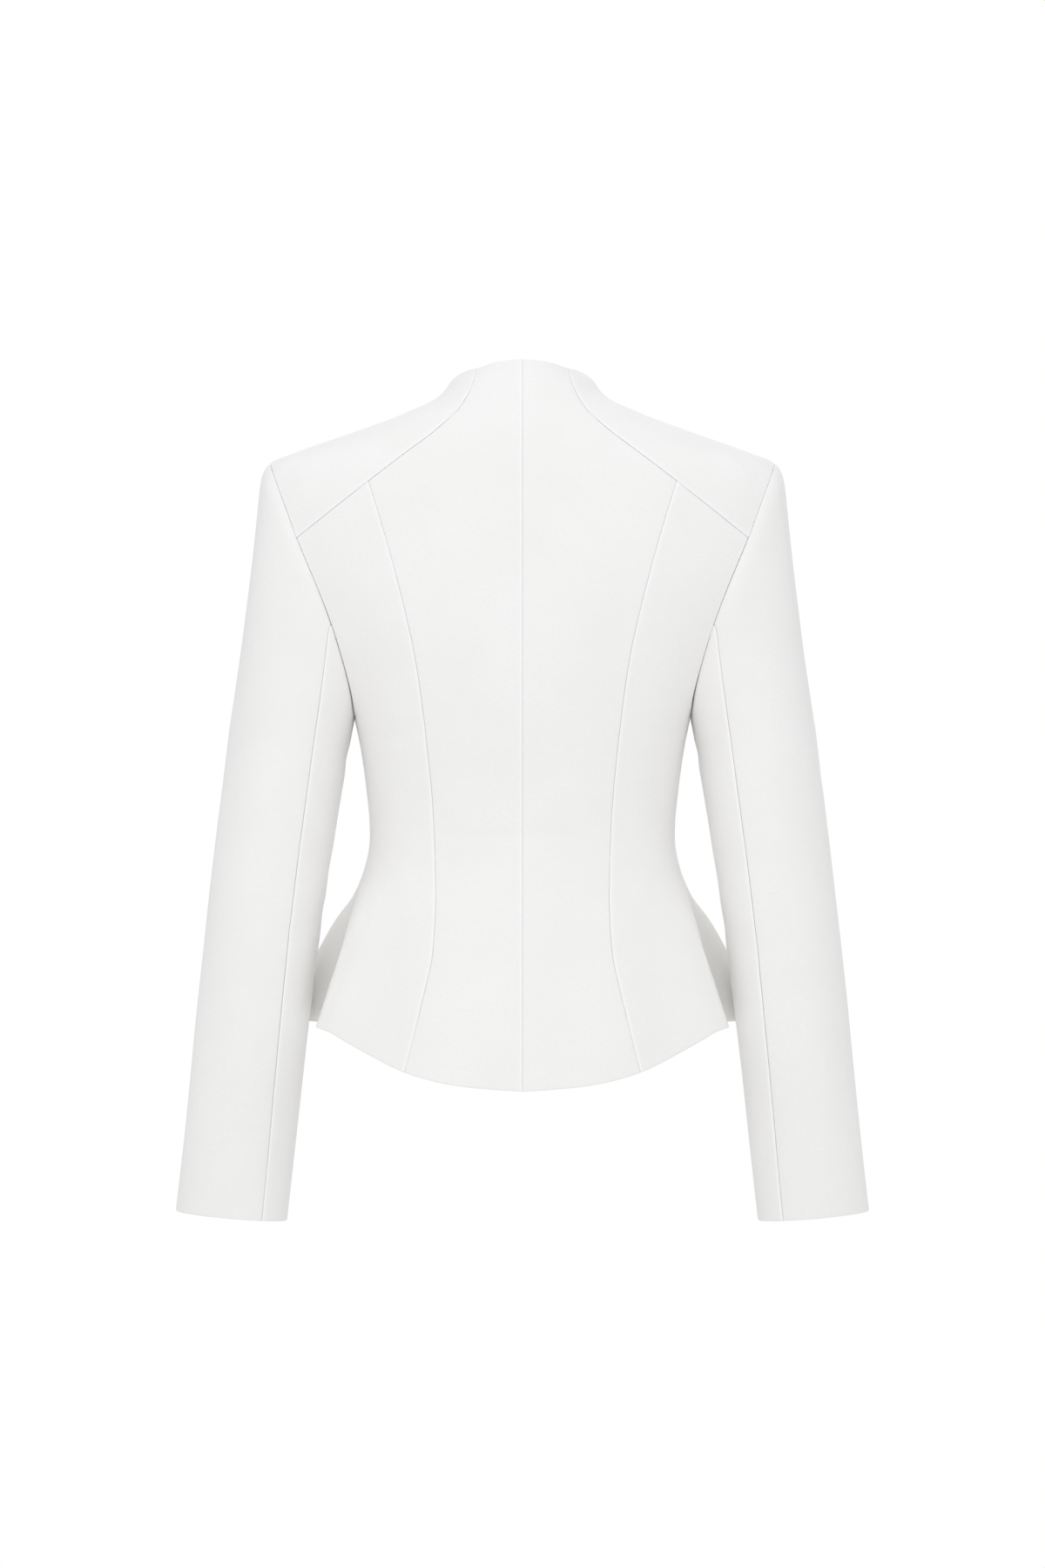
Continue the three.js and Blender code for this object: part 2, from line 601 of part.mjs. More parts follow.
// A point of the sleeve head, a share of the way from the armhole to the first ring. The
// head rolls out over the seam: squarely at the shoulder, softly at the back and front.
function headPoint(k, share) {
  const { angle, z } = loop[k];
  const out = Math.max(Math.cos(radians(roundSleeve[k].top)), 0);
  const start = bodyPoint(angle, z).add(new THREE.Vector3(ARMHOLE_GAP, 0, 0));
  const base = start.lerp(sleevePoint(roundSleeve[k].top, SLEEVE_TOP_Z), share);
  const away = bodyNormal(angle, z).multiplyScalar(1 - out);
  away.x += out;
  const near = smooth(-0.85, -0.35, Math.cos(radians(roundSleeve[k].top)));
  const roll = line(HEAD_ROLL.side, HEAD_ROLL.top, out) * near;
  const swell = (1 - Math.exp(-share / HEAD_ROLL.sharp)) * (1 - share) ** HEAD_ROLL.fade;
  return base.addScaledVector(away, roll * swell);
}

const sleeveRows = [
  ...HEAD_STEPS.map((share) => loop.map((_, k) => headPoint(k, share))),
  ...Array.from({ length: SLEEVE_RINGS }, (_, r) => {
    const t = (r + 1) / SLEEVE_RINGS;
    const z = line(SLEEVE_TOP_Z, CUFF_Z, t);
    return roundSleeve.map(({ top, cuff }) => sleevePoint(line(top, cuff, t), z));
  }),
];
// The loop's last point is its first again, so neighbours wrap round when normals are made.
const around = loop.length - 1;
const sleeveGrid = sleeveRows.map((row, j) =>
  row.map((point, k) => {
    const along = sleeveRows[Math.min(j + 1, sleeveRows.length - 1)][k]
      .clone()
      .sub(sleeveRows[Math.max(j - 1, 0)][k]);
    const next = row[(k + 1) % around];
    const before = row[(k - 1 + around) % around];
    const normal = along.cross(next.clone().sub(before)).normalize();
    return { point: point.clone(), normal };
  }),
);
const backSeamAt = CUTS.armholeTopBack + CUTS.armholeBack;
const frontSeamAt = backSeamAt + CUTS.armholeUnderBack + CUTS.armholeUnderFront;
const cutOut = (columns) => copied(sleeveGrid.map((row) => columns.map((k) => row[k])));
const range = (from, to) => Array.from({ length: to - from + 1 }, (_, i) => from + i);

// Under sleeve: from the back seam by the underarm to the front seam.
const underSleeve = cutOut(range(backSeamAt, frontSeamAt));
pair("under_sleeve", drawBack(underSleeve, ["left", "right"], SEAM_GAP / 2));

// Top sleeve: the rest, from the front seam over the outside to the back seam.
const topSleeve = cutOut([...range(frontSeamAt, around), ...range(1, backSeamAt)]);
pair("top_sleeve", drawBack(topSleeve, ["left", "right"], SEAM_GAP / 2));

export default blazer;
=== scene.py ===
# A wrap blazer in white faced crepe, filled out as it is worn, with no wearer inside it.
# Lengths are in metres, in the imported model's frame: +Z up, the front faces -Y and the
# wearer's left is +X. The origin lies between the shoulders, at the base of the neck.
import math

import bmesh
import bpy
import numpy as np
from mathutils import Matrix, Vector, noise
from mathutils.bvhtree import BVHTree


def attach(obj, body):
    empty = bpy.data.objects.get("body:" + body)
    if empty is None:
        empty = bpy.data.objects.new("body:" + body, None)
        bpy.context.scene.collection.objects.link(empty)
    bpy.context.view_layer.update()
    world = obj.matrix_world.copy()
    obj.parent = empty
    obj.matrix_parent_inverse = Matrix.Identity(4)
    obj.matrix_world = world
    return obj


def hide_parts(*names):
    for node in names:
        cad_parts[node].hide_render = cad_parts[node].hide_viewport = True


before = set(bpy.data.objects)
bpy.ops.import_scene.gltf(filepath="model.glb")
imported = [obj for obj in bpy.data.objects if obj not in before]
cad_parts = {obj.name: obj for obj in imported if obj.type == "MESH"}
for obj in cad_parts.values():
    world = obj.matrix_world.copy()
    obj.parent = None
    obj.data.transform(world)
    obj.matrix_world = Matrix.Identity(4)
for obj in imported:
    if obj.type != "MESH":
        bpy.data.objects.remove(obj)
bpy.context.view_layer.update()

MM = 0.001


# The studio. The camera stands level behind the jacket, as the photograph's does, and far
# enough away for nearly parallel sight lines.
PHOTO_PIXEL = 0.715 * MM
PHOTO_HEIGHT = 1800
CAMERA_DISTANCE = 4.5
CAMERA_Z = -0.304
SENSOR = 36

camera_data = bpy.data.cameras.new("camera")
camera_data.sensor_width = SENSOR
camera_data.lens = SENSOR * CAMERA_DISTANCE / (PHOTO_PIXEL * PHOTO_HEIGHT)
camera = bpy.data.objects.new("camera", camera_data)
camera.location = (0, CAMERA_DISTANCE, CAMERA_Z)
camera.rotation_euler = (math.radians(90), 0, math.radians(180))
bpy.context.scene.collection.objects.link(camera)
bpy.context.scene.camera = camera


def lamp(name, place, size, watts):
    """A square soft light that faces the middle of the jacket."""
    light = bpy.data.lights.new(name, "AREA")
    light.size = size
    light.energy = watts
    light.color = COOL_WHITE
    holder = bpy.data.objects.new(name, light)
    holder.location = place
    aim = Vector((0, 0, CAMERA_Z)) - Vector(place)
    holder.rotation_euler = aim.to_track_quat("-Z", "Y").to_euler()
    bpy.context.scene.collection.objects.link(holder)


def linear(sheet_colour):
    """An sRGB hex colour as the linear values that a shader takes."""
    values = [int(sheet_colour[i:i + 2], 16) / 255 for i in (1, 3, 5)]
    low = [v / 12.92 for v in values]
    high = [((v + 0.055) / 1.055) ** 2.4 for v in values]
    return tuple(a if v <= 0.04045 else b for v, a, b in zip(values, low, high)) + (1,)


def add(tree, kind, inputs=None, **settings):
    """Adds one node with its settings, and links or fills the inputs that are named."""
    made = tree.nodes.new(kind)
    for key, value in settings.items():
        setattr(made, key, value)
    for name, value in (inputs or {}).items():
        if isinstance(value, bpy.types.NodeSocket):
            tree.links.new(value, made.inputs[name])
        else:
            made.inputs[name].default_value = value
    return made


def blank_material(name):
    """A material with only its output node, and that node."""
    material = bpy.data.materials.new(name)
    material.use_nodes = True
    material.node_tree.nodes.clear()
    return material, add(material.node_tree, "ShaderNodeOutputMaterial")


# A white surround lights the cloth from all sides. It is a little cool, and dimmer than the
# white that the camera sees behind the jacket. Two wide lamps stand in front of the back
# and of the front, above eye level, and a third hangs over the shoulders.
COOL_WHITE = (0.972, 0.987, 1.0)
SURROUND = 0.75
lamp("lamp_back", place=(0.3, 3.9, 1.7), size=2.8, watts=41)
lamp("lamp_front", place=(-0.6, -4.0, 1.1), size=2.8, watts=37)
lamp("lamp_over", place=(0.2, 0.6, 3.0), size=2.0, watts=9)

world = bpy.data.worlds.new("surround")
world.use_nodes = True
seen = add(world.node_tree, "ShaderNodeLightPath").outputs["Is Camera Ray"]
backdrop = add(world.node_tree, "ShaderNodeMix", {
    "Factor": seen,
    "A": tuple(SURROUND * c for c in COOL_WHITE) + (1,),
    "B": (1, 1, 1, 1),
}, data_type="RGBA")
lit_by = world.node_tree.nodes["Background"].inputs["Color"]
world.node_tree.links.new(backdrop.outputs["Result"], lit_by)
bpy.context.scene.world = world
bpy.context.scene.view_settings.view_transform = "Standard"


# The floor: a studio floor painted matt off-white, a person's shoulder height under the
# jacket. It is out of the photograph's view and shows only from other sides.
FLOOR_Z = -1.42
FLOOR_RADIUS = 2.6
FLOOR_PAINT = "#F7F6F5"
FLOOR_PAINT_WORN = "#F4F3F2"

painted_floor, output = blank_material("matt_floor_paint")
tree = painted_floor.node_tree
place = add(tree, "ShaderNodeTexCoord").outputs["Object"]
cloudy = add(tree, "ShaderNodeTexNoise", {"Vector": place, "Scale": 3.0, "Detail": 3.0})
paint = add(tree, "ShaderNodeMix", {
    "Factor": cloudy.outputs["Fac"],
    "A": linear(FLOOR_PAINT),
    "B": linear(FLOOR_PAINT_WORN),
}, data_type="RGBA")
surface = add(tree, "ShaderNodeBsdfPrincipled", {
    "Base Color": paint.outputs["Result"],
    "Roughness": 0.85,
})
tree.links.new(surface.outputs["BSDF"], output.inputs["Surface"])

disc = bmesh.new()
bmesh.ops.create_circle(disc, cap_ends=True, segments=96, radius=FLOOR_RADIUS)
bmesh.ops.translate(disc, verts=disc.verts, vec=(0, 0, FLOOR_Z))
floor_mesh = bpy.data.meshes.new("floor")
disc.to_mesh(floor_mesh)
disc.free()
floor_mesh.materials.append(painted_floor)
floor = bpy.data.objects.new("floor", floor_mesh)
bpy.context.scene.collection.objects.link(floor)


# The cloth: a heavy wool crepe, bleached to a clean white and fused to its interlining.
# Hard-twisted yarns give it a dry, slightly pebbled face with no shine but a faint bloom
# at grazing angles. The yarns are 0.6 mm apart, and are drawn at 1.5 mm so that they show.
# Along the raised side of each seam the face is painted lighter: a painted highlight where the
# seam's roll would catch the light.
CREPE_WHITE = "#F9F8F6"
CREPE_SHADE = "#F6F4F2"
# The near white of the painted seam highlight.
CREPE_PAINTED_HIGHLIGHT = "#FCFCFC"
YARN = 1.5 * MM
PEBBLE = 2.6 * MM
SLUB = (2.2 * MM, 16 * MM)
CLOUD = 70 * MM

white_crepe, output = blank_material("bleached_wool_crepe")
tree = white_crepe.node_tree
grain = add(tree, "ShaderNodeUVMap", uv_map="grain").outputs["UV"]
pebble = add(tree, "ShaderNodeTexNoise", {
    "Vector": grain, "Scale": 1 / PEBBLE, "Detail": 3.0, "Roughness": 0.6,
})
stretched = add(tree, "ShaderNodeMapping", {
    "Vector": grain, "Scale": (1 / SLUB[0], 1 / SLUB[1], 1),
})
warp_slub = add(tree, "ShaderNodeTexNoise", {
    "Vector": stretched.outputs["Vector"], "Scale": 1.0, "Detail": 2.0,
})
turned = add(tree, "ShaderNodeMapping", {
    "Vector": grain, "Scale": (1 / SLUB[1], 1 / SLUB[0], 1),
})
weft_slub = add(tree, "ShaderNodeTexNoise", {
    "Vector": turned.outputs["Vector"], "Scale": 1.0, "Detail": 2.0,
})
yarns = add(tree, "ShaderNodeTexNoise", {
    "Vector": grain, "Scale": 1 / YARN, "Detail": 1.0, "Roughness": 0.5,
})
slubs = add(tree, "ShaderNodeMath", {
    0: warp_slub.outputs["Fac"], 1: weft_slub.outputs["Fac"],
}, operation="ADD")
coarse = add(tree, "ShaderNodeMath", {
    0: slubs.outputs["Value"], 1: pebble.outputs["Fac"],
}, operation="ADD")
height = add(tree, "ShaderNodeMath", {
    0: coarse.outputs["Value"], 1: yarns.outputs["Fac"],
}, operation="ADD")
relief = add(tree, "ShaderNodeBump", {
    "Height": height.outputs["Value"], "Strength": 0.5, "Distance": 0.09 * MM,
})
place = add(tree, "ShaderNodeTexCoord").outputs["Object"]
cloud = add(tree, "ShaderNodeTexNoise", {
    "Vector": place, "Scale": 1 / CLOUD, "Detail": 4.0, "Roughness": 0.6,
})
mottle = add(tree, "ShaderNodeMath", {
    0: cloud.outputs["Fac"], 1: pebble.outputs["Fac"],
}, operation="MULTIPLY")
tint = add(tree, "ShaderNodeMapRange", {
    "Value": mottle.outputs["Value"], "From Min": 0.12, "From Max": 0.42,
})
colour = add(tree, "ShaderNodeMix", {
    "Factor": tint.outputs["Result"],
    "A": linear(CREPE_SHADE),
    "B": linear(CREPE_WHITE),
}, data_type="RGBA")
# Painted highlight: the crepe is mixed towards near white along the raised side of each seam, as
# strongly as each vertex says.
painted_seam_highlight = add(tree, "ShaderNodeMix", {
    "Factor": add(tree, "ShaderNodeAttribute", attribute_name="painted_seam_highlight").outputs["Fac"],
    "A": colour.outputs["Result"],
    "B": linear(CREPE_PAINTED_HIGHLIGHT),
}, data_type="RGBA")
surface = add(tree, "ShaderNodeBsdfPrincipled", {
    "Base Color": painted_seam_highlight.outputs["Result"],
    "Roughness": 0.88,
    "Specular IOR Level": 0.3,
    "Sheen Weight": 0.12,
    "Sheen Roughness": 0.6,
    "Normal": relief.outputs["Normal"],
})
tree.links.new(surface.outputs["BSDF"], output.inputs["Surface"])


# The centre back: two pieces cut on the straight grain and sewn together down the spine,
# with the stand neck grown on to them. Like every piece here, each is a thin shell on the
# form of its own solid: the solid's outer wall is drawn again with close rows beside its
# edges, which roll into the seams, and with the creases that the cloth takes in wear.
SHELL = 2.0 * MM
WELD = 0.01 * MM
CLOTH = 2.2 * MM
CLOTH_ERROR = 0.003 * MM
RIM_ANGLE = math.radians(45)
CELL = 2.6 * MM
EDGE_ROWS = np.array([0, 0.35, 0.8, 1.5, 2.6, 4.2]) * MM
SHORT_ROW = 40 * MM
KINK = math.radians(40)

# A border is sewn to the nearest piece within reach, if it lies across the border and not
# along it, and goes this share of the way there.
SEWN_REACH = 1.3 * MM
SEWN_ACROSS = 0.25
SEAM_SHARE = 0.48

# Height of the face beside a seam, by distance from it. The allowances are pressed to one
# side, so one piece stands over the seam and the other dips under it. A free edge is
# turned under and rolls away. The wrap's edge also lies down on the front under it.
ROLL = {
    "distance": np.array([0, 0.35, 0.8, 1.5, 2.6, 4.2, 7.5, 11, 15]) * MM,
    "over": np.array([-0.16, 0.1, 0.25, 0.33, 0.35, 0.33, 0.25, 0.12, 0]) * MM,
    "under": np.array([-0.46, -0.34, -0.2, -0.1, -0.03, 0, 0, 0, 0]) * MM,
    "free": np.array([-0.62, -0.26, -0.08, 0, 0.03, 0.04, 0.03, 0.01, 0]) * MM,
    "lapped": np.array([-1.5, -1.36, -1.3, -1.27, -1.24, -1.14, -0.84, -0.42, 0]) * MM,
    # How strongly the painted highlight lightens the raised side of a seam, by the same distance.
    "painted_seam_highlight": np.array([0.1, 0.8, 1, 0.5, 0.1, 0, 0, 0, 0]),
}
# Pieces in the order in which their edges are pressed over one another, lowest first.
PRESSED = [
    "top_sleeve_left", "top_sleeve_right", "under_sleeve_left", "under_sleeve_right",
    "front_left", "front_right", "centre_back_right", "centre_back_left",
    "side_front_left", "side_front_right", "side_back_left", "side_back_right",
    "shoulder_panel_left", "shoulder_panel_right",
]
# The armhole seam is shallower than the others down to one height, and from there to the
# underarm it is pulled in ever deeper. Both values are times the depth of the others.
UNDERARM_PULL = {"from": -0.2, "to": -0.245, "above": 0.45, "below": 1.7}

# Creases of the body, where the back or the front view shows them, in millimetres: the two
# ends, how far the middle bows to the left of the way from first to second, half width and
# depth. A minus depth is a ridge. They cross the seams, so every body piece takes them.
BACK_CREASES = [
    # Pressed in at the waist, across the hollow of the back.
    {"x": 78, "z": -344, "to_x": -72, "to_z": -342, "bow": 3, "wide": 4.5, "deep": 0.42},
    {"x": -20, "z": -331, "to_x": -110, "to_z": -338, "bow": -4, "wide": 8, "deep": 0.35},
    # Drag lines from the underarms towards the waist.
    {"x": 128, "z": -272, "to_x": 72, "to_z": -250, "bow": 5, "wide": 8, "deep": 0.8},
    {"x": 127, "z": -296, "to_x": 84, "to_z": -284, "bow": -3, "wide": 9, "deep": 0.55},
    {"x": -129, "z": -266, "to_x": -80, "to_z": -251, "bow": -5, "wide": 7, "deep": 0.7},
    {"x": -126, "z": -288, "to_x": -70, "to_z": -268, "bow": -4, "wide": 10, "deep": 0.6},
    {"x": -127, "z": -312, "to_x": -92, "to_z": -306, "bow": 2, "wide": 8, "deep": 0.35},
    # Long hollows over the shoulder blades.
    {"x": 134, "z": -118, "to_x": 112, "to_z": -236, "bow": 8, "wide": 18, "deep": 0.9},
    {"x": -132, "z": -126, "to_x": -110, "to_z": -228, "bow": -8, "wide": 16, "deep": 0.75},
    {"x": 46, "z": -96, "to_x": 38, "to_z": -262, "bow": -5, "wide": 20, "deep": -0.6},
    {"x": -52, "z": -104, "to_x": -40, "to_z": -284, "bow": 6, "wide": 22, "deep": -0.6},
    # The spring of the peplum below the waist.
    {"x": 108, "z": -382, "to_x": 122, "to_z": -505, "bow": -6, "wide": 13, "deep": 1.0},
    {"x": 44, "z": -398, "to_x": 52, "to_z": -540, "bow": -3, "wide": 18, "deep": 0.8},
    {"x": -38, "z": -405, "to_x": -50, "to_z": -542, "bow": 4, "wide": 20, "deep": 0.7},
    {"x": -104, "z": -388, "to_x": -119, "to_z": -510, "bow": 5, "wide": 12, "deep": 0.9},
    {"x": 14, "z": -430, "to_x": 16, "to_z": -546, "bow": 0, "wide": 12, "deep": -0.45},
    {"x": -16, "z": -440, "to_x": -20, "to_z": -546, "bow": 0, "wide": 14, "deep": -0.5},
]
FRONT_CREASES = [
    # Drawn from the closing at the right front's edge towards the bust and the hip.
    {"x": -44, "z": -338, "to_x": 66, "to_z": -262, "bow": -7, "wide": 9, "deep": 1.3},
    {"x": -46, "z": -345, "to_x": 92, "to_z": -322, "bow": -4, "wide": 8, "deep": 1.1},
    {"x": -44, "z": -352, "to_x": 70, "to_z": -362, "bow": 4, "wide": 9, "deep": 0.9},
    {"x": -40, "z": -362, "to_x": 48, "to_z": -408, "bow": 6, "wide": 10, "deep": 1.1},
    {"x": 20, "z": -306, "to_x": 104, "to_z": -292, "bow": 3, "wide": 7, "deep": 0.6},
    {"x": -60, "z": -330, "to_x": -112, "to_z": -300, "bow": 4, "wide": 9, "deep": 0.8},
    {"x": -62, "z": -352, "to_x": -116, "to_z": -352, "bow": -3, "wide": 8, "deep": 0.6},
    # Drag lines from the underarms to the bust.
    {"x": 131, "z": -258, "to_x": 92, "to_z": -226, "bow": -5, "wide": 8, "deep": 0.9},
    {"x": 130, "z": -280, "to_x": 96, "to_z": -262, "bow": 4, "wide": 9, "deep": 0.6},
    {"x": -130, "z": -262, "to_x": -90, "to_z": -238, "bow": 5, "wide": 9, "deep": 0.8},
    {"x": -128, "z": -292, "to_x": -98, "to_z": -280, "bow": -3, "wide": 8, "deep": 0.5},
    # Hollows between the shoulders and the bust.
    {"x": 146, "z": -96, "to_x": 126, "to_z": -196, "bow": 8, "wide": 16, "deep": 0.9},
    {"x": -148, "z": -102, "to_x": -128, "to_z": -190, "bow": -7, "wide": 15, "deep": 0.8},
    # The peplum's spring.
    {"x": 60, "z": -392, "to_x": 84, "to_z": -500, "bow": -4, "wide": 14, "deep": 0.9},
    {"x": -70, "z": -396, "to_x": -92, "to_z": -502, "bow": 5, "wide": 13, "deep": 0.8},
    {"x": 8, "z": -420, "to_x": 20, "to_z": -508, "bow": -3, "wide": 16, "deep": 0.7},
]
# Beside a crease the cloth rises a little: how many half widths away, and what share of the
# depth. The power is how bluntly a crease ends.
CREASE_BANK = {"away": 1.9, "share": 0.3}
CREASE_END = 0.8
SIDE_BLEND = 14 * MM
DRAPE = {"size": 85 * MM, "deep": 0.35 * MM}


def smooth(low, high, value):
    """Rises softly from 0 at low to 1 at high."""
    t = np.clip((value - low) / (high - low), 0, 1)
    return t * t * (3 - 2 * t)


def crease_depths(x, z, table):
    """How far a table's creases move the cloth outwards at places x across and z up."""
    total = np.zeros_like(x)
    for row in table:
        start = np.array([row["x"], row["z"]]) * MM
        way = np.array([row["to_x"], row["to_z"]]) * MM - start
        length = np.hypot(*way)
        way = way / length
        along = ((x - start[0]) * way[0] + (z - start[1]) * way[1]) / length
        inside = np.clip(along, 0, 1)
        bow = row["bow"] * MM * 4 * inside * (1 - inside)
        across = (x - start[0]) * -way[1] + (z - start[1]) * way[0] - bow
        fade = np.sin(math.pi * inside) ** CREASE_END
        wide = row["wide"] * MM
        trough = np.exp(-(across / wide) ** 2)
        banks = np.exp(-((np.abs(across) - CREASE_BANK["away"] * wide) / wide) ** 2)
        total += row["deep"] * MM * fade * (CREASE_BANK["share"] * banks - trough)
    return total


def body_creases(points):
    """The creases of the body at its points."""
    x, y, z = np.moveaxis(points, -1, 0)
    back = smooth(-SIDE_BLEND, SIDE_BLEND, y)
    front = crease_depths(x, z, FRONT_CREASES)
    return back * crease_depths(x, z, BACK_CREASES) + (1 - back) * front


def spine(z):
    """The upright line that the body's pieces go round."""
    return Vector((0, 0, z))


def all_but(name):
    """A search tree over the faces of all the other solids, and the owner of each face."""
    corners, faces, owners = [], [], []
    for other, node in sorted(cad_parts.items()):
        if other != name:
            first = len(corners)
            corners += [v.co[:] for v in node.data.vertices]
            faces += [[first + i for i in p.vertices] for p in node.data.polygons]
            owners += [other] * len(node.data.polygons)
    return BVHTree.FromPolygons(corners, faces), owners


def on_rim(face):
    """Whether a triangle lies on a solid's cut edge: one side is the cloth's thickness."""
    thick = any(abs(e.calc_length() - CLOTH) < CLOTH_ERROR for e in face.edges)
    return thick and any(e.calc_face_angle(0) > RIM_ANGLE for e in face.edges)


def outer_wall(node, axis):
    """A bmesh of a solid's outer wall alone, with its loose triangles joined up."""
    wall = bmesh.new()
    wall.from_mesh(node.data)
    bmesh.ops.remove_doubles(wall, verts=wall.verts, dist=WELD)
    wall.normal_update()
    left = {f for f in wall.faces if not on_rim(f)}
    walls = []
    while left:
        first = left.pop()
        found, todo = [first], [first]
        while todo:
            near = [f for edge in todo.pop().edges for f in edge.link_faces]
            fresh = set(near) & left
            left -= fresh
            found += fresh
            todo += fresh
        walls.append(found)

    def faces_out(found):
        total = 0
        for face in found:
            middle = face.calc_center_median()
            total += face.calc_area() * face.normal.dot(middle - axis(middle.z))
        return total

    kept = set(max(walls, key=faces_out))
    spare = [f for f in wall.faces if f not in kept]
    bmesh.ops.delete(wall, geom=spare, context="FACES")
    return wall


def join_quads(wall):
    """Joins the pairs of triangles that each four-sided face was cut into. Edge kinds take
    turns round every triangle, and only the cuts never lie on the border."""
    kinds = [set(), set(), set()]
    wall.faces.ensure_lookup_table()
    seen = set()
    todo = [(wall.faces[0].loops[0], 0)]
    while todo:
        loop, kind = todo.pop()
        if loop.face in seen:
            continue
        seen.add(loop.face)
        for _ in range(3):
            kinds[kind].add(loop.edge)
            todo.append((loop.link_loop_radial_next, kind))
            loop = loop.link_loop_next
            kind = (kind - 1) % 3
    cuts = next(k for k in kinds if not any(e.is_boundary for e in k))
    bmesh.ops.dissolve_edges(wall, edges=list(cuts), use_verts=False)


def net(wall):
    """The wall's points, row by row, upwards from its lower corner."""
    corners = [l for f in wall.faces for l in f.loops if len(l.vert.link_faces) == 1]
    rise = [(l.link_loop_prev.vert.co - l.vert.co).normalized().z for l in corners]
    first = corners[int(np.argmax(rise))]
    rows = []
    while True:
        row, loop = [], first
        while True:
            row.append(loop)
            right = loop.link_loop_next
            if right.link_loop_radial_next == right:
                break
            loop = right.link_loop_radial_next.link_loop_next
        rows.append([l.vert.co[:] for l in row] + [right.vert.co[:]])
        top = first.link_loop_next.link_loop_next
        if top.link_loop_radial_next == top:
            break
        first = top.link_loop_radial_next
    rows.append([l.link_loop_prev.vert.co[:] for l in row] + [right.link_loop_next.vert.co[:]])
    return np.array(rows)


def run_of(points, axis):
    """Length of cloth from the first point of each line to each of its points."""
    steps = np.linalg.norm(np.diff(points, axis=axis), axis=-1)
    start = np.zeros_like(np.take(steps, [0], axis=axis))
    return np.concatenate([start, np.cumsum(steps, axis=axis)], axis=axis)


def drawn_again(points, cells):
    """A smooth line through points, with rows close together at its ends. It keeps the
    sharp corners that a seam turns at."""
    run = run_of(points, 0)
    step = np.diff(run)[:, None]
    slope = np.diff(points, axis=0) / step
    inner = (slope[:-1] * step[1:] + slope[1:] * step[:-1]) / (step[:-1] + step[1:])
    away = np.vstack([2 * slope[0] - inner[0], inner, 2 * slope[-1] - inner[-1]])
    towards = away.copy()
    corners = 1 + np.flatnonzero(np.sum(slope[:-1] * slope[1:], axis=1) < math.cos(KINK))
    away[corners] = slope[corners]
    towards[corners] = slope[corners - 1]
    edge = EDGE_ROWS * min(1, run[-1] / SHORT_ROW)
    middle = np.linspace(edge[-1], run[-1] - edge[-1], cells + 1)
    for corner in run[corners]:
        middle[1 + np.argmin(np.abs(middle[1:-1] - corner))] = corner
    at = np.concatenate([edge[:-1], middle, (run[-1] - edge[:-1])[::-1]])
    i = np.clip(np.searchsorted(run, at) - 1, 0, len(step) - 1)
    t = ((at - run[i]) / step[i, 0])[:, None]
    keep = (1 + 2 * t) * (1 - t) ** 2
    lead = t * (1 - t) ** 2 * step[i]
    tail = t * t * (1 - t) * step[i]
    ends = keep * points[i] + (1 - keep) * points[i + 1]
    return ends + lead * away[i] - tail * towards[i + 1]


def dense(rows):
    """The net drawn again in cells of one size, with close rows beside its four edges."""
    across = int(np.median(run_of(rows, 1)[:, -1]) / CELL)
    up = int(np.median(run_of(rows, 0)[-1]) / CELL)
    wide = np.array([drawn_again(row, across) for row in rows])
    tall = [drawn_again(wide[:, k], up) for k in range(wide.shape[1])]
    return np.stack(tall, axis=1)


def normals_of(points):
    """Unit vectors out of the cloth at its points."""
    out = np.cross(np.gradient(points, axis=1), np.gradient(points, axis=0))
    return out / np.linalg.norm(out, axis=-1, keepdims=True)


def sewn_to(name, others, line, out):
    """For each point of a border that faces out, how far it is sewn over a neighbour and
    under one, whether that seam is the armhole's, and the way to the neighbour."""
    tree, owners = others
    kinds = np.zeros((len(line), 3))
    way = np.zeros_like(line)
    for k, point in enumerate(line):
        place, _, face, _ = tree.find_nearest(point, SEWN_REACH)
        if place is None:
            continue
        gap = np.array(place) - point
        if gap @ out[k] > SEWN_ACROSS * np.linalg.norm(gap):
            partner = owners[face]
            over = PRESSED.index(name) > PRESSED.index(partner)
            kinds[k] = over, not over, ("sleeve" in partner) != ("sleeve" in name)
            way[k] = gap
    # The ends of a border meet two neighbours, so they take the values beside them.
    kinds[:2], kinds[-2:] = kinds[2], kinds[-3]
    blurred = np.pad(kinds, ((1, 1), (0, 0)), mode="edge")
    return (blurred[:-2] + 2 * blurred[1:-1] + blurred[2:]) / 4, way


